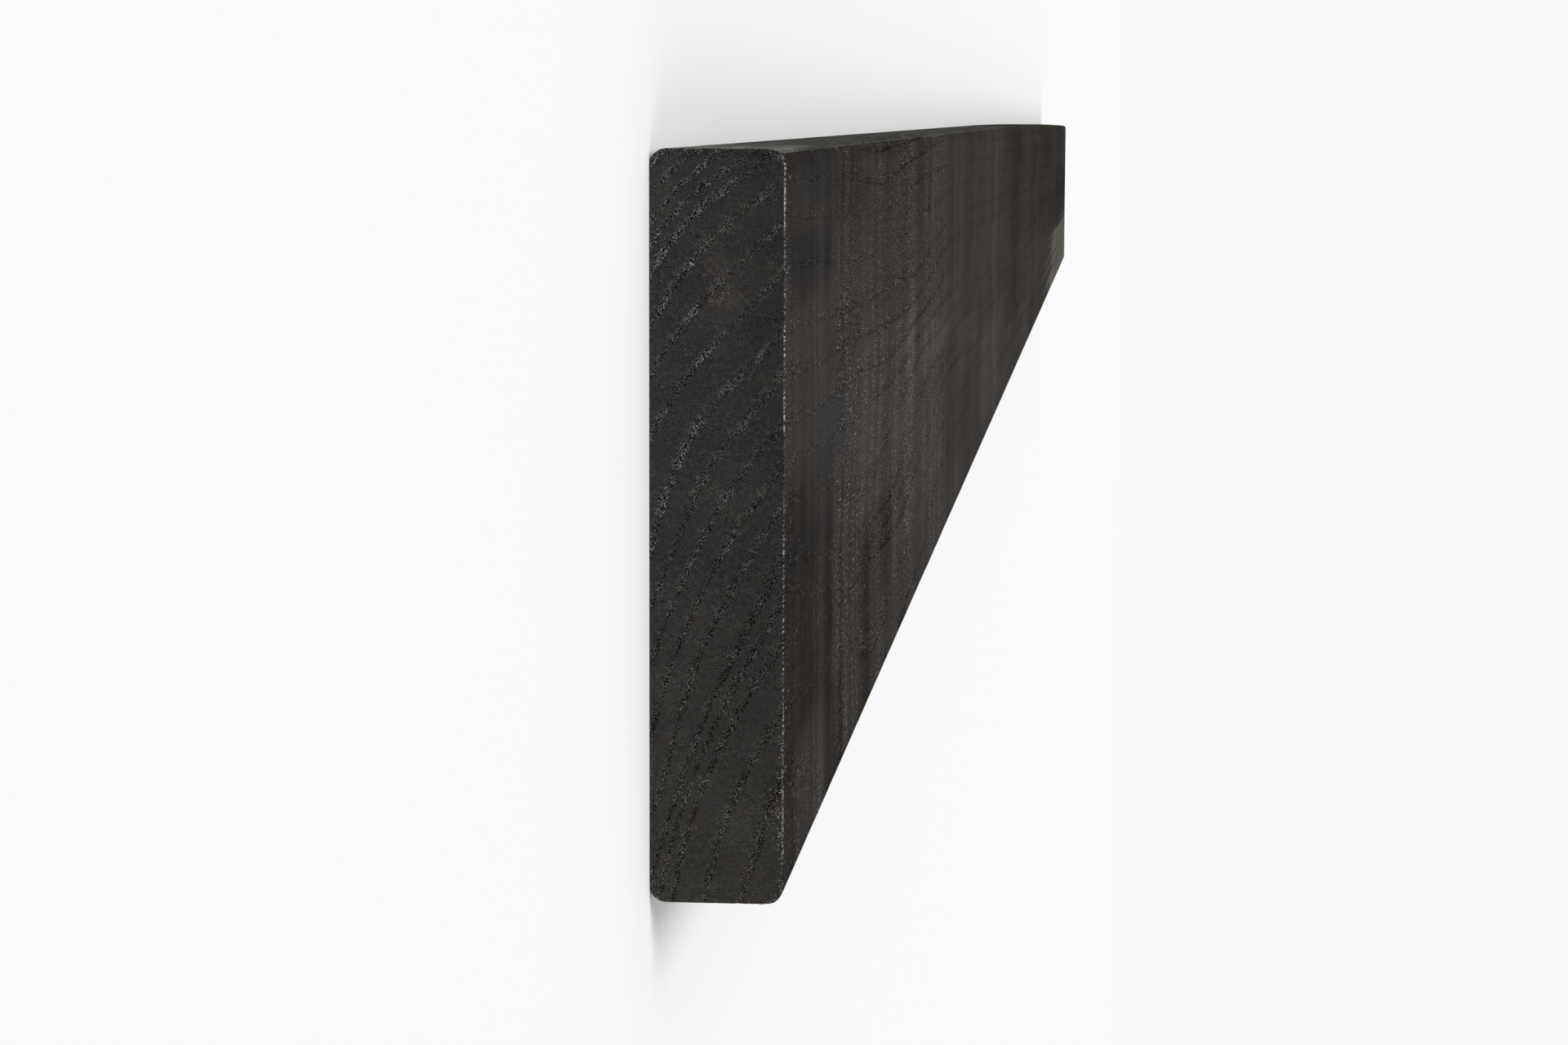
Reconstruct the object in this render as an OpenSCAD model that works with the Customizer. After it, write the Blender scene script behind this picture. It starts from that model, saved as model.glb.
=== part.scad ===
// Thermally modified ash board, planed on four sides with eased long edges.
// The board lies flat. Its length runs along X, its width along Y and its
// thickness along Z. The origin is at the centre of the underside.

/* [Board] */
// Length of the board from sawn end to sawn end
board_length = 2400; // [600:50:4800]
// Width across the wide face
board_width = 112; // [60:1:200]
// Thickness between the two wide faces
board_thickness = 20; // [15:0.5:45]

/* [Edges] */
// Radius of the four rounded long edges
edge_radius = 2.5; // [0.5:0.5:6]

/* [Hidden] */
$fn = 64;
charcoal_brown = [0.20, 0.19, 0.175];
// Centres of the edge roundings, measured from the middle of the section
round_y = board_width / 2 - edge_radius;
round_z = board_thickness / 2 - edge_radius;

// The sawn section: a rectangle whose four corners are quarter circles.
// Its first axis is the board's width and its second axis the thickness.
module board_section() {
    square([board_width - 2 * edge_radius, board_thickness], center = true);
    square([board_width, board_thickness - 2 * edge_radius], center = true);
    for (side = [-1, 1], face = [-1, 1])
        translate([side * round_y, face * round_z])
            circle(r = edge_radius);
}

// One length of solid timber, cut square at both ends.
module board() {
    color(charcoal_brown)
        translate([-board_length / 2, 0, board_thickness / 2])
            rotate([90, 0, 90])
                linear_extrude(height = board_length)
                    board_section();
}

board();
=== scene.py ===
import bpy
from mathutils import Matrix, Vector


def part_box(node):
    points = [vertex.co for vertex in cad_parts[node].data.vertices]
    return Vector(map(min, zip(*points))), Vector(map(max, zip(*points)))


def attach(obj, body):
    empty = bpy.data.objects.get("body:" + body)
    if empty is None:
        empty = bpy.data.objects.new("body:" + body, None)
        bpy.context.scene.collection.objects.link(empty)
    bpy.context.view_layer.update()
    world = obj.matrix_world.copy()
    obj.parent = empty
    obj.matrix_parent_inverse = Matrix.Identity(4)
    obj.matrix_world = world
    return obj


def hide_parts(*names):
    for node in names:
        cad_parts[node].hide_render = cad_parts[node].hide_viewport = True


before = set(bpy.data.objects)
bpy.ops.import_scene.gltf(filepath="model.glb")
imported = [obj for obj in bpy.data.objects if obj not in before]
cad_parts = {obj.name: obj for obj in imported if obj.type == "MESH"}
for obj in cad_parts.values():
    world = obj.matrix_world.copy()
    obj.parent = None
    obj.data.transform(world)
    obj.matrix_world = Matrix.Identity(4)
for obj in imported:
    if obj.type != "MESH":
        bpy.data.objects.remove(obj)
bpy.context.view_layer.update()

import math

import bpy
import numpy as np
from mathutils import Matrix, Vector

MM = 0.001

# ---------------------------------------------------------------- the board
# The board lies along X. t runs from its near sawn end (-X) to its far one,
# y across its width and z up from its underside, all in millimetres.
LOW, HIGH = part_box("board")
X0 = LOW[0] / MM
LENGTH = (HIGH[0] - LOW[0]) / MM
HALF = (HIGH[1] - LOW[1]) / MM / 2
THICK = (HIGH[2] - LOW[2]) / MM
ROUND = 2.5

# Growth rings: the pith lies above the upper face, beyond the right edge.
# Each number is the radius at which one year's band of pores begins.
PITH_Y, PITH_Z = -92.9, 166.8
RINGS = [
    102.0, 106.8, 111.0, 116.4, 120.6, 125.9, 131.5, 135.8, 141.2, 146.8, 152.4,
    158.8, 163.1, 168.3, 170.5, 172.2, 175.6, 179.1, 182.5, 186.0, 189.4, 194.9,
    200.4, 204.8, 208.2, 210.0, 212.1, 215.0, 218.6, 222.9, 227.9, 233.1, 237.2,
    241.8, 246.9, 250.3, 255.0, 258.4, 263.0,
]
R_MIN, R_MAX = 100.0, 264.0

# The pith's path along the length, and the slow bends of the rings, as sine
# waves: size, wave numbers along t, y and z in turns per metre, and phase.
PITH_Y_WAVES = [(5.2, 1.05, 0.0), (2.2, 1.75, 0.0)]
PITH_Z_WAVES = [(6.4, 1.05, 0.0), (2.6, 1.60, 0.0)]
BENDS = [
    (0.80, 1.7, 17.0, 9.0, 0.4),
    (0.50, 3.4, -23.0, 14.0, 1.9),
    (0.25, 6.1, 31.0, -11.0, 4.1),
]
BENDS_FROM = 150.0
CALM_FROM, CALM_TO, CALM = 240.0, 850.0, 0.10  # further on the grain runs straighter
EVER_BENDS = [
    (2.2, 0.0, -6.892, 0.942, 0.041),
    (0.885, 0.0, -1.798, -32.339, 6.031),
    (0.608, 0.0, 30.0, -28.338, -3.914),
    (0.354, 0.0, 24.938, -1.575, -2.714),
    (0.10, 0.0, 55.0, -97.0, 3.3),
]


# In the far half the +Y edge draws in a little: place where it starts,
# how much it comes to at the far end, and how it grows.
DRAW_FROM, DRAW, DRAW_POWER = 1050.0, 4.4, 1.55


def drawn_in(t, y):
    """The true place across the board of a point of the straight section."""
    s = np.clip((t - DRAW_FROM) / (LENGTH - DRAW_FROM), 0, 1) ** DRAW_POWER
    return y - DRAW * s * (y + HALF) / (2 * HALF)


def rings_np(t, y, z):
    """Distance outward from the start of the year's pore band, in mm."""
    calm = 1 + (CALM - 1) * step(CALM_FROM, CALM_TO, t)
    py = PITH_Y + calm * sum(a * np.sin(2 * np.pi * k * t / 1000 + p) for a, k, p in PITH_Y_WAVES)
    pz = PITH_Z + calm * sum(a * np.sin(2 * np.pi * k * t / 1000 + p) for a, k, p in PITH_Z_WAVES)
    r = np.hypot(y - py, z - pz)
    grow = np.clip(t / BENDS_FROM, 0, 1) * (0.15 + 0.85 * calm)
    for waves, share in ((BENDS, grow), (EVER_BENDS, 1.0)):
        for a, kt, ky, kz, p in waves:
            r = r + share * a * np.sin(2 * np.pi * (kt * t + ky * y + kz * z) / 1000 + p)
    edge = np.array(RINGS)
    i = np.clip(np.searchsorted(edge, r) - 1, 0, len(edge) - 2)
    return r - edge[i]


def lattice(i, seed):
    """A repeatable value from 0 to 1 for each row of whole numbers."""
    h = (i[..., 0] * 73856093) ^ (i[..., 1] * 19349663) ^ (i[..., 2] * 83492791) ^ (seed * 2654435761)
    h = h & 0xFFFFFFFF
    h = ((h ^ (h >> 16)) * 0x45D9F3B) & 0xFFFFFFFF
    h = ((h ^ (h >> 16)) * 0x45D9F3B) & 0xFFFFFFFF
    h = h ^ (h >> 16)
    return h.astype(np.float64) / 0xFFFFFFFF


def noise(p, seed):
    """Smooth noise from -1 to 1 at points p, one unit to a cell."""
    p = np.asarray(p, float)
    c = np.floor(p).astype(np.int64)
    f = p - c
    f = f * f * (3 - 2 * f)
    total = 0
    for dx in (0, 1):
        for dy in (0, 1):
            for dz in (0, 1):
                w = (
                    (f[..., 0] if dx else 1 - f[..., 0])
                    * (f[..., 1] if dy else 1 - f[..., 1])
                    * (f[..., 2] if dz else 1 - f[..., 2])
                )
                total = total + w * lattice(c + np.array([dx, dy, dz]), seed)
    return total * 2 - 1


def step(a, b, x):
    v = np.clip((x - a) / (b - a), 0, 1)
    return v * v * (3 - 2 * v)


# ------------------------------------------------------------- the section
NY, NZ = 320, 56  # steps along a wide face and along a narrow edge


def outline():
    """Points round the section, from the middle of the lower left arc: right
    along the underside, up the +Y edge, back along the top and down again."""
    r = ROUND
    arc = math.pi / 4 * r
    out = []
    for n, straight, origin, along, outward in (
        (NY, 2 * (HALF - r), (r - HALF, r), (1, 0), (0, -1)),
        (NZ, THICK - 2 * r, (HALF - r, r), (0, 1), (1, 0)),
        (NY, 2 * (HALF - r), (HALF - r, THICK - r), (-1, 0), (0, 1)),
        (NZ, THICK - 2 * r, (r - HALF, THICK - r), (0, -1), (-1, 0)),
    ):
        s = np.linspace(0, straight + 2 * arc, n + 1)[:-1]
        # half an arc, a straight, and half an arc
        turn = np.clip((arc - s) / r, 0, None) - np.clip((s - arc - straight) / r, 0, None)
        u = np.clip(s - arc, 0, straight) - np.sin(turn) * r
        v = np.cos(turn) * r
        out.append(np.stack([origin[k] + u * along[k] + v * outward[k] for k in (0, 1)], 1))
    return np.concatenate(out)


RIM = outline()
P = len(RIM)


def cap_points():
    """A grid over the sawn end whose border is the section's own points."""
    low = RIM[: NY + 1]
    right = RIM[NY : NY + NZ + 1]
    top = RIM[NY + NZ : 2 * NY + NZ + 1][::-1]
    left = np.vstack([RIM[2 * NY + NZ :], RIM[:1]])[::-1]
    a = np.linspace(0, 1, NY + 1)[:, None, None]
    b = np.linspace(0, 1, NZ + 1)[None, :, None]
    g = (
        (1 - b) * low[:, None] + b * top[:, None] + (1 - a) * left[None] + a * right[None]
        - ((1 - a) * (1 - b) * low[0] + a * (1 - b) * low[-1] + (1 - a) * b * top[0] + a * b * top[-1])
    )
    return g


verts, faces, tags = [], [], []
count = 0


def add(points):
    global count
    first = count
    verts.append(points)
    count += len(points)
    return first


# Stations along the length, with how many of the section's points each keeps.
near = [0.0, 0.18, 0.40, 0.70, 1.1, 1.6, 2.3, 3.3, 4.6]
stations = [(t, 1) for t in near]
t = 4.6
while t < 62:
    t += 1.1 + 0.028 * t
    stations.append((t, 2))
while t < LENGTH - 40:
    t += min(2.6 + 0.012 * t, 12.5)
    stations.append((t, 4))
for back in (24, 13, 7, 3.6, 1.6, 0.6, 0.0):
    stations.append((LENGTH - back, 4 if back > 20 else 2))


def skin(t, rim):
    """The section's points at t, with the planer's waves and raised grain."""
    y, z = rim[:, 0], rim[:, 1]
    tt = np.full(len(rim), t)
    # outward normal of the section
    ny = np.where(np.abs(y) > HALF - ROUND, (np.abs(y) - (HALF - ROUND)) * np.sign(y), 0)
    nz = np.where(z < ROUND, z - ROUND, np.where(z > THICK - ROUND, z - (THICK - ROUND), 0))
    n = np.maximum(np.hypot(ny, nz), 1e-9)
    ny, nz = ny / n, nz / n
    away = step(0, 6, t) * step(0, 6, LENGTH - t)
    e = rings_np(tt, y, z)
    pore = step(0, 0.25, e) * (1 - step(0.8, 1.9, e))
    face = np.abs(nz)
    d = -0.007 * pore
    d = d + 0.022 * face * noise(np.stack([tt / 26, y / 90, z / 90], 1), 3)
    d = d + 0.030 * face * noise(np.stack([tt / 95, y / 140, z / 90], 1), 4)
    d = d + 0.015 * noise(np.stack([tt / 9, y / 3, z / 3], 1), 5)
    d = d * (0.25 + 0.75 * away) - 0.035
    chips = 1 - step(0, 0.9, min(t, LENGTH - t))
    d = d - chips * 0.10 * np.clip(noise(np.stack([tt / 0.8, y / 0.55, z / 0.55], 1), 6), 0, 1)
    return np.stack([tt, drawn_in(tt, y + ny * d), z + nz * d], 1)


rings = []
for t, k in stations:
    rim = RIM[::k]
    rings.append((add(skin(t, rim)), len(rim), k))
for (a, na, ka), (b, nb, kb) in zip(rings, rings[1:]):
    if na == nb:
        i = np.arange(na)
        j = (i + 1) % na
        faces += np.stack([a + i, a + j, b + j, b + i], 1).tolist()
    else:
        fine, coarse, nf, nc = (a, b, na, nb) if na > nb else (b, a, nb, na)
        for i in range(nc):
            f0, f1, f2 = fine + 2 * i, fine + 2 * i + 1, fine + (2 * i + 2) % nf
            c0, c1 = coarse + i, coarse + (i + 1) % nc
            tris = [(f0, c0, f1), (f1, c0, c1), (f1, c1, f2)]
            if na > nb:
                faces += [[x[0], x[2], x[1]] for x in tris]
            else:
                faces += [list(x) for x in tris]
skin_faces = len(faces)


def cap(far):
    """A sawn end: its pore bands are sunk and torn, the saw leaves fine lines."""
    k = 2 if far else 1
    g = cap_points()[::k, ::k]
    ny, nz = g.shape[0] - 1, g.shape[1] - 1
    base, n, _ = rings[-1 if far else 0]
    ids = -np.ones((ny + 1, nz + 1), int)
    order = (
        [(i, 0) for i in range(ny)] + [(ny, j) for j in range(nz)]
        + [(i, nz) for i in range(ny, 0, -1)] + [(0, j) for j in range(nz, 0, -1)]
    )
    for m, (i, j) in enumerate(order):
        ids[i, j] = base + m
    inner = g[1:-1, 1:-1].reshape(-1, 2)
    y, z = inner.T
    tt = np.full(len(inner), LENGTH if far else 0.0)
    e = rings_np(tt, y, z)
    pore = step(0, 0.3, e) * (1 - step(0.7, 2.0, e))
    p3 = np.stack([tt * 0, y, z], 1)
    d = 0.055 * pore * (1 + 0.9 * noise(p3 / 0.62, 11)) + 0.020 * noise(p3 / 0.8, 12)
    d = d + 0.012 * np.sin(2 * np.pi * (z + 0.18 * y + 0.4 * noise(p3 / 9, 13)) / 1.7) + 0.02
    x = LENGTH - np.clip(d, 0, 1) if far else np.clip(d, 0, 1)
    start = add(np.stack([x, drawn_in(tt, y), z], 1))
    ids[1:-1, 1:-1] = start + np.arange(len(inner)).reshape(ny - 1, nz - 1)
    q = np.stack([ids[:-1, :-1], ids[:-1, 1:], ids[1:, 1:], ids[1:, :-1]], -1).reshape(-1, 4)
    return (q[:, ::-1] if far else q).tolist()


faces += cap(False)
faces += cap(True)

co = np.concatenate(verts)
co[:, 0] += X0
co *= MM
mesh = bpy.data.meshes.new("board_timber")
mesh.from_pydata(co.tolist(), [], faces)
mesh.polygons.foreach_set("use_smooth", np.ones(len(faces), bool))
mesh.update()
mesh.validate()
board = bpy.data.objects.new("board_timber", mesh)
bpy.context.collection.objects.link(board)
# the arris between each sawn end and the planed faces stays crisp
sharp = np.zeros(len(mesh.edges), bool)
ev = np.empty(len(mesh.edges) * 2, np.int32)
mesh.edges.foreach_get("vertices", ev)
ev = ev.reshape(-1, 2)
for base, n, _ in (rings[0], rings[-1]):
    sharp |= ((ev >= base) & (ev < base + n)).all(1)
mesh.attributes.new("sharp_edge", "BOOLEAN", "EDGE")
mesh.attributes["sharp_edge"].data.foreach_set("value", sharp)

# -------------------------------------------------------------- the unwrap
def unwrap(mesh):
    """The map that the colours are baked through. The skin lies in three strips,
    the first with more room towards the sawn end, and both ends lie below."""
    assert len(mesh.polygons) == len(faces)
    vert = np.empty(len(mesh.loops), np.int32)
    mesh.loops.foreach_get("vertex_index", vert)
    total = np.empty(len(faces), np.int32)
    mesh.polygons.foreach_get("loop_total", total)
    poly = np.repeat(np.arange(len(faces)), total)
    first = np.concatenate([[0], np.cumsum(total)[:-1]])

    base = np.array([b for b, _, _ in rings])
    every = np.array([k for _, _, k in rings])
    place = np.array([t for t, _ in stations])
    on_skin = poly < skin_faces
    ring = np.clip(np.searchsorted(base, vert, "right") - 1, 0, len(base) - 1)
    i = (vert - base[ring]) * every[ring]
    low, high = np.minimum.reduceat(i, first)[poly], np.maximum.reduceat(i, first)[poly]
    i = np.where(on_skin & (high - low > P // 2) & (i < P // 2), i + P, i)

    # how far round the section, with more room on the upper face
    side = np.linalg.norm(np.roll(RIM, -1, 0) - RIM, axis=1)
    side[: NY] *= 0.85
    side[NY + NZ : 2 * NY + NZ] *= 1.2
    round_ = np.concatenate([[0], np.cumsum(side)])
    round_ = round_ / round_[-1]
    a, b = [int(np.abs(place - x).argmin()) for x in (480.0, 1440.0)]
    near_ring = np.minimum.reduceat(ring, first)[poly]
    strip = (near_ring >= a).astype(int) + (near_ring >= b)
    ends = [0.0, place[a], place[b], LENGTH]
    x0, x1 = np.array(ends)[strip], np.array(ends)[strip + 1]
    u = (place[ring] - x0) / (x1 - x0)
    grown = np.log1p(place[ring] / 400.0) / math.log1p(place[a] / 400.0)
    u = np.where(strip == 0, grown, u)
    top = np.array([4.0, 420.0, 660.0])[strip]
    tall = np.array([410.0, 234.0, 234.0])[strip]
    uv = np.stack([4 + 1016 * u, top + tall * round_[np.clip(i, 0, P)]], 1)

    y, z = co[vert, 1] / MM, co[vert, 2] / MM
    near_cap = ~on_skin & (poly < skin_faces + NY * NZ)
    uv[near_cap] = np.stack([4 + 6.0 * (y + HALF), 900 + 6.0 * z], 1)[near_cap]
    far_cap = ~on_skin & ~near_cap
    uv[far_cap] = np.stack([684 + 2.95 * (y + HALF), 900 + 5.8 * z], 1)[far_cap]
    layer = mesh.uv_layers.new(name="OFBake")
    layer.uv.foreach_set("vector", (uv / 1024).astype(np.float32).ravel())


unwrap(mesh)

# ------------------------------------------------------------- materials
class Nodes:
    """Short names for the shader nodes used here."""

    def __init__(self, tree):
        self.t = tree

    def _set(self, socket, value):
        if isinstance(value, bpy.types.NodeSocket):
            self.t.links.new(value, socket)
        elif value is not None:
            socket.default_value = value

    def m(self, op, a, b=None, c=None, clamp=False):
        n = self.t.nodes.new("ShaderNodeMath")
        n.operation, n.use_clamp = op, clamp
        for s, v in zip(n.inputs, (a, b, c)):
            self._set(s, v)
        return n.outputs[0]

    def add(self, *v):
        out = v[0]
        for x in v[1:]:
            out = self.m("ADD", out, x)
        return out

    def mul(self, *v):
        out = v[0]
        for x in v[1:]:
            out = self.m("MULTIPLY", out, x)
        return out

    def sub(self, a, b):
        return self.m("SUBTRACT", a, b)

    def inv(self, a):
        return self.m("SUBTRACT", 1.0, a)

    def ramp(self, x, a, b, lo=0.0, hi=1.0, smooth=True):
        n = self.t.nodes.new("ShaderNodeMapRange")
        n.interpolation_type = "SMOOTHSTEP" if smooth else "LINEAR"
        n.clamp = True
        for s, v in zip(n.inputs, (x, a, b, lo, hi)):
            self._set(s, v)
        return n.outputs[0]

    def vec(self, x, y, z):
        n = self.t.nodes.new("ShaderNodeCombineXYZ")
        for s, v in zip(n.inputs, (x, y, z)):
            self._set(s, v)
        return n.outputs[0]

    def noise(self, v, detail=2.0, rough=0.5, scale=1.0, colour=False, line=False):
        n = self.t.nodes.new("ShaderNodeTexNoise")
        n.noise_dimensions = "1D" if line else "3D"
        self._set(n.inputs["W" if line else "Vector"], v)
        n.inputs["Scale"].default_value = scale
        n.inputs["Detail"].default_value = detail
        n.inputs["Roughness"].default_value = rough
        return n.outputs["Color" if colour else "Fac"]

    def parts(self, vector):
        n = self.t.nodes.new("ShaderNodeSeparateXYZ")
        self._set(n.inputs[0], vector)
        return n.outputs[0], n.outputs[1], n.outputs[2]

    def split(self, colour):
        n = self.t.nodes.new("ShaderNodeSeparateColor")
        self._set(n.inputs[0], colour)
        return n.outputs[0], n.outputs[1], n.outputs[2]

    def cells(self, v, scale=1.0, flat=False):
        n = self.t.nodes.new("ShaderNodeTexVoronoi")
        n.voronoi_dimensions = "2D" if flat else "3D"
        self._set(n.inputs["Vector"], v)
        n.inputs["Scale"].default_value = scale
        s = self.t.nodes.new("ShaderNodeSeparateColor")
        self.t.links.new(n.outputs["Color"], s.inputs[0])
        return n.outputs["Distance"], s.outputs[0], s.outputs[1], s.outputs[2]

    def mix(self, f, a, b, blend="MIX"):
        n = self.t.nodes.new("ShaderNodeMix")
        n.data_type, n.blend_type = "RGBA", blend
        self._set(n.inputs[0], f)
        for s, v in ((n.inputs[6], a), (n.inputs[7], b)):
            self._set(s, v)
        return n.outputs[2]

    def curve(self, x, points):
        n = self.t.nodes.new("ShaderNodeFloatCurve")
        c = n.mapping.curves[0]
        while len(c.points) < len(points):
            c.points.new(0.5, 0.5)
        for p, (a, b) in zip(c.points, points):
            p.location = (a, b)
            p.handle_type = "VECTOR"
        n.mapping.use_clip = False
        n.mapping.update()
        self._set(n.inputs["Value"], x)
        return n.outputs[0]


def srgb(r, g, b):
    def lin(v):
        v /= 255
        return v / 12.92 if v <= 0.04045 else ((v + 0.055) / 1.055) ** 2.4
    return (lin(r), lin(g), lin(b), 1.0)


FACE_TONE, END_TONE = 58.6, 47.6
# brightness of the pale specks on the faces and the sawn ends, partly painted highlights of fibres catching the light
SPECK_FACE, SPECK_END = 72.0, 97.0
# Marks in the upper face: from and to along the board, from and to across it,
# in mm, the change of tone and of warmth in steps of 255, and how soft the
# ends and the sides are, in mm.
MARKS = [
    # the first hand's breadth beside the sawn end, darker and cooler
    (-60, 90, -38, 5, -13.0, -2.0, 5, 6),
    (76, 118, -70, -35, -13.0, 0.0, 8, 4),
    (42, 82, 46.5, 53, -3.0, -3.0, 5, 2),
    (12, 84, 33.5, 42, -6.0, -3.5, 5, 3),
    (58, 112, 2, 16, -1.5, -4.0, 5, 3),
    (4, 78, -22, -11, 0.0, 1.5, 5, 3),
    (-60, 22, -70, -36, -11.0, 0.0, 7, 4),
    (-60, 100, 37, 70, -4.0, 0.0, 14, 5),
    (-60, 400, 37, 70, -4.0, -1.0, 14, 5),
    (35, 95, -7, 4, 4.5, 0.0, 6, 3),
    (78, 126, -30, -13, -5.0, 0.0, 6, 5),
    (60, 128, 19, 34, -3.0, 0.0, 8, 5),
    (92, 182, 43, 52, -4.5, 0.0, 8, 2.5),
    (12, 60, -54, -41, -5.0, -1.0, 6, 4),
    # pale and dark bars that don't reach across
    (90, 560, -3, 20, 3.5, 0.0, 30, 5),
    (124, 330, -13, 19, 4.5, 0.5, 8, 6),
    (154, 187, -70, -18, -14.5, 1.0, 9, 6),
    (203, 246, -38, -18, -7.0, 0.5, 12, 6),
    (350, 500, -4, 7, 5.5, 1.0, 12, 3),
    (275, 325, 4, 11, 5.0, 0.5, 10, 3),
    (300, 430, -2, 32, 0.0, 3.0, 20, 5),
    (560, 700, -18, -3, 6.0, 0.0, 25, 4),
    (490, 610, -42, -24, -4.0, 0.0, 20, 5),
    (262, 452, -36, -2, 5.0, 1.0, 14, 7),
    (720, 975, -52, -14, 5.0, 1.0, 20, 4),
    (985, 1330, -70, -28, 6.0, 1.0, 50, 6),
    (1330, 1760, -31, -9, 5.5, 1.5, 50, 5),
    (1780, 2500, -10, 26, -4.5, 0.0, 80, 5),
    (950, 2700, 0, 80, -3.0, 0.5, 60, 10),
]
# Bars across the whole board, painted reflection: lighter and darker bands of reflected light along the upper face.
# Place along it, and change of tone.
REFLECTION_BARS = [
    (0, -5.5), (14, -5.5), (26, -3.5), (40, -1.5), (60, -1.0), (80, 0.5), (94, -2.0), (107, -4.5), (125, -3.0), (137, -6.0), (165, -1.0),
    (226, -4.4), (262, -3.2), (310, -1.5), (376, -2.0), (406, 1.5), (450, -1.5), (474, 0.5), (500, -4.5),
    (532, 0.0), (640, -5.0), (740, -5.5), (812, -3.0), (880, -4.0), (990, -12.5), (1080, -15.5),
    (1290, -11.5), (2400, -10.0),
]
# How thickly the flecks lie along the board, from 0 to 1.
SPECKS = [
    (0, 0.62), (11, 0.50), (21, 0.22), (86, 0.20), (96, 0.55), (105, 0.95), (142, 1.0), (156, 0.62),
    (176, 0.60), (192, 0.80), (208, 0.80), (236, 0.55), (252, 0.48), (270, 0.72), (287, 0.98),
    (302, 0.95), (324, 0.60), (340, 0.25), (352, 0.38), (378, 0.70), (405, 0.74), (442, 0.68),
    (470, 0.45), (492, 0.20), (530, 0.10), (2400, 0.08),
]


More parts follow.
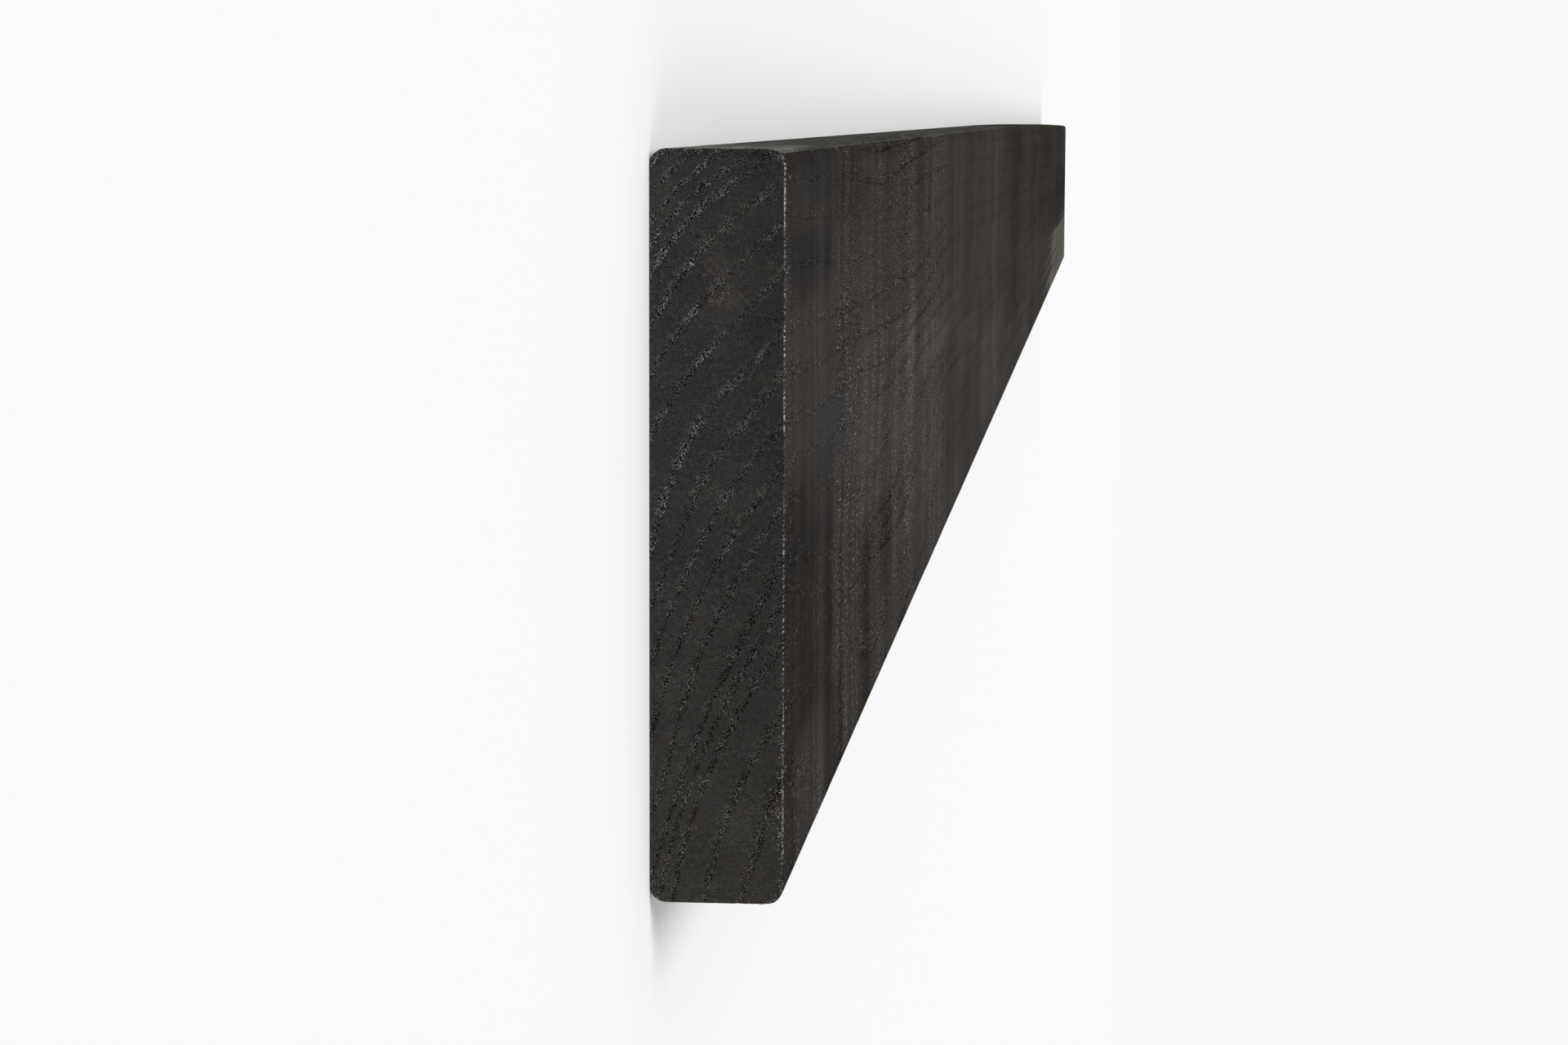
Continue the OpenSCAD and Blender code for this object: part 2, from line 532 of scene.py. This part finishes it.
def wood():
    mat = bpy.data.materials.new("thermo_ash")
    mat.use_nodes = True
    nt = mat.node_tree
    nt.nodes.clear()
    g = Nodes(nt)
    out = nt.nodes.new("ShaderNodeOutputMaterial")
    bsdf = nt.nodes.new("ShaderNodeBsdfPrincipled")
    nt.links.new(bsdf.outputs[0], out.inputs["Surface"])

    # --- places in millimetres
    tc = nt.nodes.new("ShaderNodeTexCoord")
    mm = nt.nodes.new("ShaderNodeVectorMath")
    mm.operation = "SCALE"
    nt.links.new(tc.outputs["Object"], mm.inputs[0])
    mm.inputs["Scale"].default_value = 1000.0
    sep = nt.nodes.new("ShaderNodeSeparateXYZ")
    nt.links.new(mm.outputs[0], sep.inputs[0])
    t = g.add(sep.outputs[0], -X0)
    z = sep.outputs[2]
    # undo the drawing in, so that every pattern keeps to the straight section
    draw = g.m("POWER", g.ramp(t, DRAW_FROM, LENGTH, smooth=False), DRAW_POWER)
    y = g.add(g.m("DIVIDE", g.add(sep.outputs[1], HALF), g.m("MULTIPLY_ADD", draw, -DRAW / (2 * HALF), 1.0)), -HALF)

    def blend(f, a, b):
        return g.add(a, g.mul(f, g.sub(b, a)))

    def wave(a, k, p, base):
        return g.mul(g.m("SINE", g.m("MULTIPLY_ADD", base, 2 * math.pi * k / 1000, p)), a)

    calm = g.ramp(t, CALM_FROM, CALM_TO, 1.0, CALM)
    shift_y = g.mul(g.add(*[wave(a, k, p, t) for a, k, p in PITH_Y_WAVES]), calm)
    shift_z = g.mul(g.add(*[wave(a, k, p, t) for a, k, p in PITH_Z_WAVES]), calm)
    gy = g.sub(y, shift_y)  # across the section, following the grain
    gz = g.sub(z, shift_z)
    dy, dz = g.add(gy, -PITH_Y), g.add(gz, -PITH_Z)
    r = g.m("SQRT", g.add(g.mul(dy, dy), g.mul(dz, dz)))

    def bends(waves):
        parts = []
        for a, kt, ky, kz, p in waves:
            q = g.add(
                g.mul(t, 2 * math.pi * kt / 1000),
                g.mul(y, 2 * math.pi * ky / 1000),
                g.m("MULTIPLY_ADD", z, 2 * math.pi * kz / 1000, p),
            )
            parts.append(g.mul(g.m("SINE", q), a))
        return g.add(*parts)

    grow = g.mul(g.ramp(t, 0.0, BENDS_FROM, smooth=False), g.m("MULTIPLY_ADD", calm, 0.85, 0.15))
    r = g.add(r, g.mul(bends(BENDS), grow), bends(EVER_BENDS))
    # the bands' edges follow single pores, so they wander a little
    rag = g.noise(g.vec(g.mul(t, 0.006), g.mul(gy, 0.9), g.mul(gz, 0.9)), detail=2)
    r = g.add(r, g.mul(g.add(rag, -0.5), 0.9))

    span = R_MAX - R_MIN
    rn = g.m("DIVIDE", g.add(r, -R_MIN), span)
    count_of = len(RINGS) - 1
    number = g.curve(rn, [((v - R_MIN) / span, i / count_of) for i, v in enumerate(RINGS)])
    mids = [(a + b) / 2 for a, b in zip(RINGS, RINGS[1:])]
    width = g.mul(
        g.curve(rn, [((v - R_MIN) / span, (b - a) / 8) for v, a, b in zip(mids, RINGS, RINGS[1:])]), 8.0
    )
    part = g.m("FRACT", g.mul(number, float(count_of)))
    fine = g.noise(g.vec(g.mul(t, 0.09), g.mul(gy, 1 / 0.25), g.mul(gz, 1 / 0.25)), detail=3, rough=0.75)
    e = g.mul(part, width)  # mm outward from the year's first pores
    loose_e = g.m("MULTIPLY_ADD", fine, 0.9, g.add(e, -0.45))
    early = g.mul(g.ramp(e, 0.0, 0.15), g.ramp(loose_e, 0.45, 1.75, 1.0, 0.0))
    first = g.mul(g.ramp(e, 0.0, 0.06), g.ramp(e, 0.20, 0.46, 1.0, 0.0))
    # the whole porous zone, as a saw leaves it
    porous = g.mul(g.ramp(e, 0.0, 0.35), g.ramp(g.m("MULTIPLY_ADD", fine, 1.3, g.add(e, -0.65)), 0.45, 2.05, 1.0, 0.0))

    # --- which surface this is
    geo = nt.nodes.new("ShaderNodeNewGeometry")
    nsep = nt.nodes.new("ShaderNodeSeparateXYZ")
    nobj = nt.nodes.new("ShaderNodeVectorTransform")
    nobj.vector_type, nobj.convert_from, nobj.convert_to = "NORMAL", "WORLD", "OBJECT"
    nt.links.new(geo.outputs["True Normal"], nobj.inputs[0])
    nt.links.new(nobj.outputs[0], nsep.inputs[0])
    end = g.ramp(g.m("ABSOLUTE", nsep.outputs[0]), 0.55, 0.8)
    side = g.inv(end)
    edge = g.mul(g.ramp(g.m("ABSOLUTE", nsep.outputs[1]), 0.60, 0.92), side)
    far = g.ramp(t, LENGTH - 2, LENGTH - 1)
    tint = g.mul(edge, g.ramp(y, -10.0, 10.0, 0.25, 1.0))  # the +Y edge looks cooler

    # --- distance to the arris: inward on a sawn end, along the board on a face
    qy = g.add(g.m("ABSOLUTE", y), -(HALF - ROUND))
    qz = g.add(g.m("ABSOLUTE", g.add(z, -THICK / 2)), -(THICK / 2 - ROUND))
    oy, oz = g.m("MAXIMUM", qy, 0.0), g.m("MAXIMUM", qz, 0.0)
    inside = g.sub(
        ROUND,
        g.add(g.m("SQRT", g.add(g.mul(oy, oy), g.mul(oz, oz))), g.m("MINIMUM", g.m("MAXIMUM", qy, qz), 0.0)),
    )
    back = g.m("MINIMUM", t, g.sub(LENGTH, t))

    # --- pores: long tubes that wander with the grain, so they are dots on the
    # sawn ends and dashes where they run out of the faces
    wob = g.split(g.noise(g.vec(g.mul(t, 1 / 17.0), g.mul(gy, 0.35), g.mul(gz, 0.35)), detail=1, colour=True))
    py_ = g.add(gy, g.mul(g.add(wob[0], -0.5), 0.9))
    pz_ = g.add(gz, g.mul(g.add(wob[1], -0.5), 0.9))
    pu = g.m("MULTIPLY_ADD", py_, 0.87, g.mul(pz_, 0.50))
    pv = g.m("MULTIPLY_ADD", py_, -0.50, g.mul(pz_, 0.87))
    dist, ca, cb, cc = g.cells(g.vec(g.mul(pu, 1 / 0.42), g.mul(pv, 1 / 0.29), 0.0), flat=True)
    size = g.m("MULTIPLY_ADD", early, 0.20, g.m("MULTIPLY_ADD", cb, 0.12, 0.16))
    pit = g.ramp(g.sub(dist, size), -0.08, 0.08, 1.0, 0.0)
    keep = g.ramp(g.add(ca, g.mul(blend(end, early, porous), 0.86)), 0.90, 0.96)
    pit = g.mul(pit, keep)
    # pale rims and torn fibres beside the pores: painted highlight where pore walls and fibre ends catch the light
    d2, sa, sb, sc = g.cells(g.vec(g.mul(pu, 1 / 0.31), g.m("MULTIPLY_ADD", pv, 1 / 0.22, 40.0), 0.0), flat=True)
    spark = g.mul(g.ramp(d2, 0.16, 0.44, 1.0, 0.0), g.ramp(sb, 0.0, 1.0, 0.35, 1.0, smooth=False))

    # short pale and dark flecks on the planed faces
    d3, ka, kb, kc = g.cells(g.vec(g.mul(t, 1 / 3.6), g.mul(py_, 1 / 0.26), g.mul(pz_, 1 / 0.26)))
    fleck = g.ramp(d3, 0.24, 0.50, 1.0, 0.0)

    # --- broad and fine tone
    broad = g.noise(g.vec(g.mul(t, 1 / 380), g.mul(gy, 1 / 34), g.mul(gz, 1 / 34)), detail=3)
    streak = g.noise(g.vec(g.mul(t, 1 / 150), g.mul(gy, 1 / 2.2), g.mul(gz, 1 / 2.2)), detail=3, rough=0.6)
    fibre = g.noise(g.vec(g.mul(t, 1 / 5), g.mul(gy, 1 / 0.22), g.mul(gz, 1 / 0.22)), detail=2)
    warm = g.noise(g.vec(g.mul(t, 1 / 260), g.mul(gy, 1 / 20), g.mul(gz, 1 / 20)), detail=2)
    strands = g.noise(g.vec(g.mul(t, 1 / 700), g.mul(gy, 1 / 4.6), g.m("MULTIPLY_ADD", gz, 1 / 4.6, 30.0)), detail=4, rough=0.62)
    comes = g.noise(g.vec(g.mul(t, 1 / 240), g.mul(gy, 1 / 13), g.m("MULTIPLY_ADD", gz, 1 / 13, 60.0)), detail=1)

    def around(n, size):
        """The noise, swung about zero."""
        return g.m("MULTIPLY_ADD", n, 2 * size, -size)

    # planed faces
    place = g.vec(g.add(t, g.mul(around(broad, 9.0), g.ramp(t, 0.0, 900.0, 0.6, 6.0))), g.add(y, around(warm, 8.0)), z)
    face_tone, face_warm = [], []
    for t0, t1, y0, y1, tone, warmth, st, sy in MARKS:
        ht, hy, hz = (t1 - t0) / 2, (y1 - y0) / 2, 9.0
        v = nt.nodes.new("ShaderNodeVectorMath")
        v.operation = "MULTIPLY_ADD"
        nt.links.new(place, v.inputs[0])
        v.inputs[1].default_value = (1 / ht, 1 / hy, 1 / hz)
        v.inputs[2].default_value = (-(t0 + t1) / 2 / ht, -(y0 + y1) / 2 / hy, -THICK / hz)
        a = nt.nodes.new("ShaderNodeVectorMath")
        a.operation = "ABSOLUTE"
        nt.links.new(v.outputs[0], a.inputs[0])
        ax, ay, az = g.parts(a.outputs[0])
        here = g.mul(
            g.ramp(ax, 1 - st / ht, 1 + st / ht, 1.0, 0.0), g.ramp(ay, 1 - sy / hy, 1 + sy / hy, 1.0, 0.0),
            g.ramp(az, 0.5, 1.0, 1.0, 0.0),
        )
        face_tone.append(g.mul(here, tone))
        face_warm.append(g.mul(here, warmth))
    # the painted reflection bands along the board
    bars = g.curve(g.mul(g.add(t, around(warm, 5.0)), 1 / LENGTH), [(a / LENGTH, b / 50 + 0.5) for a, b in REFLECTION_BARS])
    bars = g.m("MULTIPLY_ADD", bars, 50.0, -25.0)
    # painted reflection: narrow light and dark bars across the upper face, close together near this end and wider
    # further on
    bar_at = g.mul(g.m("DIVIDE", t, g.add(t, 540.0)), 42.0)
    reflection_bar = g.noise(g.add(bar_at, around(broad, 0.8)), detail=3, rough=0.62, line=True)
    reflection_bar = g.ramp(reflection_bar, 0.43, 0.57, -1.0, 1.0)
    across = g.ramp(g.noise(g.vec(g.mul(t, 1 / 90), g.mul(y, 1 / 19), g.mul(z, 1 / 30)), detail=1), 0.36, 0.60, 0.25, 1.0)
    reflection_bar = g.mul(reflection_bar, across)
    thick_specks = g.curve(g.mul(g.add(t, around(broad, 5.0)), 1 / LENGTH), [(a / LENGTH, b) for a, b in SPECKS])
    # near the right edge a flame of flecks reaches into the plain patch
    flame = g.mul(g.ramp(y, -31.0, -44.0), g.ramp(g.m("MULTIPLY_ADD", y, -1.0, g.mul(t, -0.45)), 14.0, 26.0), g.ramp(t, 80.0, 60.0), g.ramp(t, 4.0, 16.0))
    thick_specks = g.m("MAXIMUM", thick_specks, g.mul(flame, 0.75))
    # painted shade: mask of the rounded arris beside each narrow edge
    arris_shade = g.mul(g.ramp(g.m("ABSOLUTE", y), HALF - 4.5, HALF - 2.0), g.inv(edge))
    broken = g.ramp(g.noise(g.vec(g.mul(t, 1 / 14), g.mul(gy, 0.5), g.mul(gz, 0.5)), detail=2), 0.36, 0.58, 0.15, 1.0)
    # the dark, smooth patch beside the sawn end, and a calm strip near the +Y edge
    patch = g.mul(g.ramp(t, 100.0, 84.0), g.ramp(y, 9.0, -1.0))
    strip = g.mul(g.ramp(y, 27.0, 41.0), g.ramp(t, 60.0, 95.0), g.ramp(t, 215.0, 165.0), g.ramp(z, THICK - 3.0, THICK - 0.5))
    calmer = g.m("MULTIPLY_ADD", strip, -0.5, g.m("MULTIPLY_ADD", patch, -0.45, 1.0))
    near_by = g.mul(g.ramp(t, 450.0, 650.0, 1.0, 0.6), calmer)
    further = g.ramp(t, 500.0, 1300.0)
    # where the year's first pores show best along the faces
    shows = g.ramp(comes, 0.36, 0.62, 0.35, 1.3)
    # a paler streak along the right edge, far along, frayed by the grain
    pale_wood = g.mul(
        g.ramp(g.add(t, around(strands, 520.0)), 1680.0, 2000.0),
        g.ramp(g.add(g.m("ABSOLUTE", g.add(y, 40.0)), around(strands, 15.0)), 24.5, 20.0),
        g.ramp(g.add(z, around(strands, 8.0)), 5.0, 9.0),
    )
    # the grain hardly shows in the upper face further on
    plain = g.mul(g.ramp(t, 280.0, 560.0), g.ramp(z, THICK - 3.0, THICK - 0.5))
    # painted sheen: pale streaks along the narrow edges
    edge_sheen_streaks = around(g.noise(g.vec(g.mul(t, 1 / 45), g.mul(y, 1 / 3.4), g.mul(z, 1 / 3.4)), detail=3, rough=0.6), 1.0)
    face = g.add(
        bars, g.mul(reflection_bar, 3.6), *face_tone,
        around(broad, 7.0), around(streak, 3.5), g.mul(around(fibre, 5.6), near_by),
        g.mul(around(strands, 6.5), further), g.mul(around(streak, 3.5), further),
        g.mul(first, broken, shows, calmer, blend(plain, g.ramp(t, 60.0, 200.0, -3.0, -7.5), -0.9)),
        g.mul(early, shows, calmer, blend(plain, g.ramp(t, 60.0, 300.0, -0.4, -2.2), -0.4)),
        g.mul(pale_wood, g.m("MULTIPLY_ADD", streak, 16.0, 28.5)),
        # painted shade: the rounded arris darker near the sawn end, a little lighter far on
        g.mul(arris_shade, g.ramp(t, 700.0, 1100.0, -5.0, 1.5)), g.mul(flame, 3.0),
        # painted sheen: the narrow edges lighter, most of all near the sawn end, with pale streaks
        g.mul(edge, g.ramp(t, 0.0, 95.0, 54.0, 12.0)), g.mul(edge, edge_sheen_streaks, g.ramp(t, 40.0, 120.0, 46.0, 6.0)),
    )
    swing = g.ramp(t, 450.0, 1000.0, 0.94, 0.84)
    face = g.add(g.mul(face, swing), g.ramp(t, 450.0, 950.0, FACE_TONE, FACE_TONE + 4.0))
    face_w = g.add(6.4, *face_warm, around(warm, 4.2), g.ramp(t, 400.0, 1500.0, 0.0, 0.8), g.mul(tint, g.ramp(t, 0.0, 150.0, 0.6, -2.0)), g.mul(pale_wood, 3.0))

    # sawn ends: slate in the late wood, warmer low down and round two stains
    low_end = g.ramp(y, 12.0, -56.0)
    stain = g.noise(g.vec(7.7, g.mul(y, 1 / 2.4), g.mul(z, 1 / 2.4)), detail=3, rough=0.65)
    def spot(cy, cz, ry, rz):
        a = g.m("MULTIPLY_ADD", y, 1 / ry, -cy / ry)
        b = g.m("MULTIPLY_ADD", z, 1 / rz, -cz / rz)
        q = g.add(g.mul(a, a), g.mul(b, b), around(stain, 1.5))
        return g.ramp(q, 0.1, 1.1, 1.0, 0.0)
    rust = g.add(
        g.mul(spot(39.0, 9.3, 2.2, 2.4), 0.55), g.mul(spot(37.3, 11.0, 1.2, 1.3), 0.6), spot(34.0, 11.6, 2.0, 3.8),
        g.mul(spot(38.6, 18.4, 1.4, 1.2), 0.6), g.mul(spot(-30.6, 3.5, 1.2, 1.8), 0.9),
        g.mul(spot(-44.3, 5.8, 1.4, 1.8), 0.6), g.mul(g.ramp(stain, 0.62, 0.74), 0.30),
    )
    rust = g.mul(g.m("MINIMUM", rust, 1.0), g.m("MULTIPLY_ADD", far, -0.85, 1.0))
    patchy = g.ramp(g.noise(g.vec(g.mul(t, 0.01), g.mul(gy, 1 / 3.4), g.mul(gz, 1 / 3.4)), detail=2), 0.38, 0.62, 0.45, 1.12)
    high_end = g.ramp(y, -25.0, 18.0)
    strong = g.m("MULTIPLY_ADD", g.mul(high_end, g.ramp(z, 6.0, 14.0)), -0.38, 1.0)
    hue = g.noise(g.vec(9.9, g.mul(y, 1 / 2.6), g.mul(z, 1 / 2.6)), detail=2)
    green = g.noise(g.vec(3.3, g.mul(y, 1 / 2.8), g.mul(z, 1 / 2.8)), detail=2)
    mottle = g.noise(g.vec(g.mul(t, 0.01), g.mul(gy, 1 / 0.85), g.mul(gz, 1 / 0.85)), detail=2, rough=0.6)
    cloud = g.noise(g.vec(5.1, g.mul(y, 1 / 9.0), g.mul(z, 1 / 9.0)), detail=3)
    end_tone = g.add(
        END_TONE, g.mul(porous, g.ramp(y, -20.0, 10.0, -2.0, 1.0)), g.mul(around(fine, 47.0), patchy), g.mul(g.add(z, -THICK / 2), g.m("MULTIPLY_ADD", high_end, -0.12, -0.22)),
        g.mul(around(mottle, 16.0), patchy), around(cloud, 7.0), g.mul(rust, 4.5), g.mul(low_end, 1.5),
        g.mul(pale_wood, 19.0),
    )
    rust = g.mul(rust, g.ramp(mottle, 0.40, 0.60, 0.30, 1.45))
    end_w = g.add(1.0, g.mul(porous, 1.0), g.mul(low_end, 3.5), g.mul(rust, 9.0), around(cloud, 3.0), around(hue, 5.5))

    tone = blend(end, face, end_tone)
    warmth = blend(end, face_w, end_w)
    # painted shade and highlight: the pits near black for the shade inside the open pores, the specks pale, partly
    # fibres catching the light
    speck_band = g.ramp(g.add(sa, g.mul(porous, 0.42)), 0.62, 0.74)
    # the flecks lie thicker in the painted reflection bars
    busy = g.mul(thick_specks, g.m("MULTIPLY_ADD", reflection_bar, 0.35, 0.85))
    busy = g.m("MINIMUM", g.add(busy, g.mul(early, g.ramp(t, 250.0, 600.0, 0.45, 0.05))), 1.1)
    pale = g.mul(fleck, g.ramp(ka, 0.46, 0.76), g.ramp(g.mul(kb, kb), 0.0, 1.0, 0.30, 1.25, smooth=False))
    glint = g.mul(fleck, g.ramp(ka, 0.962, 0.985))
    dark = g.mul(fleck, g.ramp(ka, 0.46, 0.22))
    coarse = g.noise(g.vec(g.mul(t, 1 / 8.0), g.mul(gy, 1 / 0.42), g.mul(gz, 1 / 0.42)), detail=2, rough=0.7)
    coarse = g.mul(g.ramp(coarse, 0.36, 0.64, -1.0, 1.0), g.ramp(t, 150.0, 300.0), g.ramp(t, 470.0, 500.0, 1.0, 0.0))
    grit = g.ramp(g.noise(g.vec(g.mul(t, 1 / 2.8), g.mul(gy, 1 / 0.20), g.mul(gz, 1 / 0.20)), detail=1), 0.30, 0.70, -1.0, 1.0)
    face_dots = g.mul(busy, 0.70, g.m("MULTIPLY_ADD", strip, -0.40, 1.0), g.add(g.mul(pale, SPECK_FACE), g.mul(glint, 85.0), g.mul(dark, g.m("MULTIPLY_ADD", patch, 22.0, -31.0)), g.mul(grit, 22.0), g.mul(coarse, 13.0)))
    face_dots = g.add(face_dots, g.mul(pit, g.m("MULTIPLY_ADD", early, shows, 0.12), blend(plain, g.ramp(t, 120.0, 500.0, -2.0, -9.0), -3.0)))
    bruise = spot(55.2, 16.9, 0.9, 1.9)
    crest = g.mul(g.ramp(y, HALF - 1.7, HALF - 0.6), g.ramp(streak, 0.40, 0.52, 0.25, 0.8), g.inv(bruise))
    end_dots = g.add(
        g.mul(
            spark,
            g.m("MAXIMUM", g.mul(speck_band, g.m("MAXIMUM", g.mul(porous, patchy), g.m("MAXIMUM", crest, g.mul(rust, 0.5)))), g.ramp(sa, 0.86, 0.97, 0.0, 0.26)),
            g.m("MULTIPLY_ADD", high_end, 0.52, 0.76), strong, SPECK_END,
        ),
        g.mul(pit, strong, g.m("MULTIPLY_ADD", porous, -15.0, -10.0)), g.mul(crest, g.ramp(sb, 0.45, 0.55), -22.0), g.mul(bruise, -9.0),
    )
    tone = g.add(tone, blend(end, face_dots, end_dots))

    # the broken pale line along the upper arris: partly fibres the saw tore, partly a painted highlight where the sharp
    # arris catches the light
    along = g.noise(g.vec(g.mul(t, 0.2), g.mul(y, 1 / 0.45), g.mul(z, 1 / 0.6)), detail=3, rough=0.7)
    swell = g.noise(g.vec(2.2, g.mul(y, 1 / 8.0), 1.7), detail=2)
    upper = g.ramp(z, THICK - 6.0, THICK - 1.2, 0.12, 1.0)
    thin = blend(end, g.ramp(back, 0.3, 1.4, 1.0, 0.0), g.ramp(inside, 0.10, 0.30, 1.0, 0.0))
    frayed = g.ramp(g.m("ABSOLUTE", g.add(y, 43.5)), 6.0, 2.0)  # where most fibres came away
    torn = g.mul(
        blend(end, g.ramp(back, 0.8, 3.0, 1.0, 0.0), g.ramp(inside, 0.3, g.m("MULTIPLY_ADD", frayed, 0.9, 1.5), 1.0, 0.0)),
        g.m("MAXIMUM", g.ramp(y, -14.0, -34.0), g.ramp(y, HALF - 4.0, HALF - 1.0, 0.0, 0.9)),
        g.ramp(g.add(sc, g.mul(swell, 0.5), g.mul(frayed, 0.09), g.mul(spot(54.2, 18.9, 1.3, 1.6), end, 0.35)), 0.86, 1.10), spark,
    )
    arris_glint_and_fibres = g.m("MAXIMUM", g.mul(thin, g.ramp(g.add(along, g.mul(swell, 0.5)), 0.66, 0.95)), torn)
    arris_glint_and_fibres = g.mul(arris_glint_and_fibres, upper, g.inv(g.mul(far, 0.5)))
    # painted highlight and torn fibres along the upper arris
    tone = g.add(tone, g.mul(arris_glint_and_fibres, 130.0))
    warmth = g.add(warmth, g.mul(arris_glint_and_fibres, 9.0))

    def channel(share):
        v = g.m("MAXIMUM", g.add(tone, g.mul(warmth, share)), 6.0)
        return g.m("POWER", g.mul(v, 1 / 255), 2.15)

    col = nt.nodes.new("ShaderNodeCombineColor")
    nt.links.new(channel(0.47), col.inputs[0])
    nt.links.new(g.m("POWER", g.mul(g.m("MAXIMUM", g.add(tone, g.mul(tint, 1.4), g.mul(side, -0.4), g.mul(warmth, 0.05), g.mul(end, g.add(g.mul(rust, -0.9), g.mul(low_end, 0.6), around(green, 2.2)))), 6.0), 1 / 255), 2.15), col.inputs[1])
    nt.links.new(channel(-0.52), col.inputs[2])
    nt.links.new(col.outputs[0], bsdf.inputs["Base Color"])

    rough = g.add(0.77, g.mul(early, g.m("MULTIPLY_ADD", end, 0.08, 0.01)), around(streak, 0.05))
    nt.links.new(rough, bsdf.inputs["Roughness"])
    bsdf.inputs["Specular IOR Level"].default_value = 0.0

    height = g.add(
        g.mul(pit, g.m("MULTIPLY_ADD", end, -0.3, -0.7)), g.mul(fibre, 0.25),
        g.mul(spark, g.m("MULTIPLY_ADD", early, 0.4, 0.1), g.m("MULTIPLY_ADD", end, 0.8, 0.2)),
    )
    bump = nt.nodes.new("ShaderNodeBump")
    bump.inputs["Strength"].default_value = 0.6
    bump.inputs["Distance"].default_value = 0.00006
    nt.links.new(height, bump.inputs["Height"])
    nt.links.new(bump.outputs[0], bsdf.inputs["Normal"])
    return mat



mesh.materials.append(wood())
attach(board, "root")
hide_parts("board")

# ------------------------------------------------------- floor, light, camera
floor_mesh = bpy.data.meshes.new("floor")
ring = [(60 * math.cos(a), 60 * math.sin(a), 0.0) for a in np.linspace(0, 2 * math.pi, 96, endpoint=False)]
floor_mesh.from_pydata(ring, [], [list(range(96))])
floor = bpy.data.objects.new("floor", floor_mesh)
bpy.context.collection.objects.link(floor)
pale = bpy.data.materials.new("pale_floor")
pale.use_nodes = True
pb = pale.node_tree.nodes["Principled BSDF"]
pb.inputs["Base Color"].default_value = (0.93, 0.93, 0.93, 1)
pb.inputs["Roughness"].default_value = 0.9
pb.inputs["Specular IOR Level"].default_value = 0.0
floor_mesh.materials.append(pale)

world = bpy.data.worlds.new("studio")
bpy.context.scene.world = world
world.use_nodes = True
wt = world.node_tree
wt.nodes.clear()
wo = wt.nodes.new("ShaderNodeOutputWorld")
seen = wt.nodes.new("ShaderNodeBackground")
seen.inputs[0].default_value = (1, 1, 1, 1)
seen.inputs[1].default_value = 0.95
lights = wt.nodes.new("ShaderNodeBackground")
lights.inputs[0].default_value = (1, 1, 1, 1)
lights.inputs[1].default_value = 0.56
path = wt.nodes.new("ShaderNodeLightPath")
mixw = wt.nodes.new("ShaderNodeMixShader")
wt.links.new(path.outputs["Is Camera Ray"], mixw.inputs[0])
wt.links.new(lights.outputs[0], mixw.inputs[1])
wt.links.new(seen.outputs[0], mixw.inputs[2])
wt.links.new(mixw.outputs[0], wo.inputs["Surface"])


def sun(name, towards, strength, angle):
    """A soft, distant light that shines from the direction given."""
    d = bpy.data.lights.new(name, "SUN")
    d.energy, d.angle = strength, math.radians(angle)
    o = bpy.data.objects.new(name, d)
    bpy.context.collection.objects.link(o)
    o.rotation_euler = Vector(towards).to_track_quat("Z", "Y").to_euler()


sun("key", (-0.35, 0.45, 0.82), 1.5, 35)
sun("fill", (-0.8, -0.35, 0.5), 0.5, 60)

cam_data = bpy.data.cameras.new("camera")
cam = bpy.data.objects.new("camera", cam_data)
bpy.context.collection.objects.link(cam)
cam_data.sensor_width = 36.0
cam_data.sensor_fit = "HORIZONTAL"
cam_data.lens = 36.0 * 4398 / 1920
cam_data.clip_start, cam_data.clip_end = 0.05, 200.0


def camera_matrix(place, look, up):
    f = Vector(look).normalized()
    rgt = f.cross(Vector(up)).normalized()
    u = rgt.cross(f)
    m = Matrix((
        (rgt.x, u.x, -f.x, place[0]),
        (rgt.y, u.y, -f.y, place[1]),
        (rgt.z, u.z, -f.z, place[2]),
        (0, 0, 0, 1),
    ))
    return m


CAM = camera_matrix((-1.72207, 0.06118, 0.06935), (1.0, -0.11469, -0.0946), (0.1127, 0.9935, -0.01421))
cam.matrix_world = CAM
bpy.context.scene.camera = cam
bpy.context.scene.view_settings.view_transform = "Standard"
